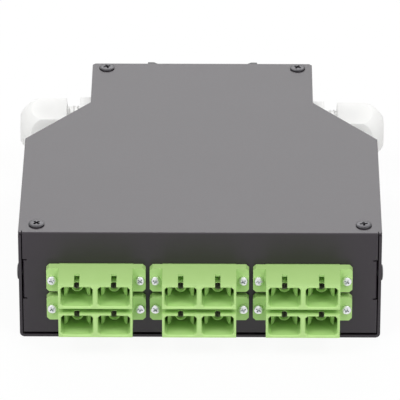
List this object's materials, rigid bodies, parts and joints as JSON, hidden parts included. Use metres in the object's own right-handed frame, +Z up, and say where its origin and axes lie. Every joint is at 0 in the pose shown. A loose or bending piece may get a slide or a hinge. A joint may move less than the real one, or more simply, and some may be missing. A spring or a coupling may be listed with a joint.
{
  "type": "din rail fibre box",
  "caption": "Low folded-steel box with a narrowed rear neck that clips to a mounting rail, takes fibre cables through side glands and carries duplex fibre adapters on its front panel.",
  "frame": {"origin": "middle of the box's underside, where it lies on a flat surface", "axes": "+X to the right seen from the port panel, +Y from the port panel to the mounting rail, +Z up through the cover"},
  "size_m": [0.1322, 0.1501, 0.0422],
  "materials": {
    "coated_steel": "fine matt black powder coat",
    "black_screw": "black zinc",
    "green_plastic": "satin moulded",
    "green_insert": "satin moulded",
    "ceramic": "ground zirconia",
    "plated_steel": "bright zinc",
    "white_nylon": "moulded nylon",
    "seal_rubber": "moulded rubber",
    "black_nylon": "moulded nylon",
    "spring_steel": "bright strip",
    "grey_plastic": "satin moulded"
  },
  "bodies": {
    "box": {"tray": "coated_steel", "cover": "coated_steel", "cover_screws": "black_screw", "side_screws": "black_screw", "adapter_housing_1": "green_plastic", "adapter_housing_2": "green_plastic", "adapter_housing_3": "green_plastic", "adapter_housing_4": "green_plastic", "adapter_housing_5": "green_plastic", "adapter_housing_6": "green_plastic", "adapter_insert_1": "green_insert", "adapter_insert_2": "green_insert", "adapter_insert_3": "green_insert", "adapter_insert_4": "green_insert", "adapter_insert_5": "green_insert", "adapter_insert_6": "green_insert", "adapter_insert_7": "green_insert", "adapter_insert_8": "green_insert", "adapter_insert_9": "green_insert", "adapter_insert_10": "green_insert", "adapter_insert_11": "green_insert", "adapter_insert_12": "green_insert", "sleeve_holders": "green_insert", "alignment_sleeves": "ceramic", "adapter_screws": "plated_steel", "clip_screws": "plated_steel", "splice_posts": "plated_steel", "splice_screws": "plated_steel", "gland_body_left": "white_nylon", "gland_body_right": "white_nylon", "gland_locknuts": "white_nylon", "gland_seal_left": "seal_rubber", "gland_seal_right": "seal_rubber", "clip_base": "black_nylon", "clip_spring": "spring_steel", "splice_tray": "grey_plastic", "splice_comb": "grey_plastic"},
    "clip_latch": {"clip_latch": "black_nylon"},
    "cap_nut_left": {"gland_cap_nut_left": "white_nylon"},
    "cap_nut_right": {"gland_cap_nut_right": "white_nylon"}
  },
  "joints": [
    {"name": "clip_latch_slide", "type": "slide", "parent": "box", "child": "clip_latch", "axis": [1, 0, 0], "range_m": [0, 0.004], "stiffness_N_per_m": 1200, "springref_m": -0.004, "deforming": ["clip_spring"]},
    {"name": "cap_nut_left_turn", "type": "hinge", "parent": "box", "child": "cap_nut_left", "pos_m": [-0.05765, 0.0495, 0.022], "axis": [-1, 0, 0], "range_deg": [-1020, 1100]},
    {"name": "cap_nut_right_turn", "type": "hinge", "parent": "box", "child": "cap_nut_right", "pos_m": [0.05765, 0.0495, 0.0206], "axis": [1, 0, 0], "range_deg": [-1020, 1100]}
  ]
}
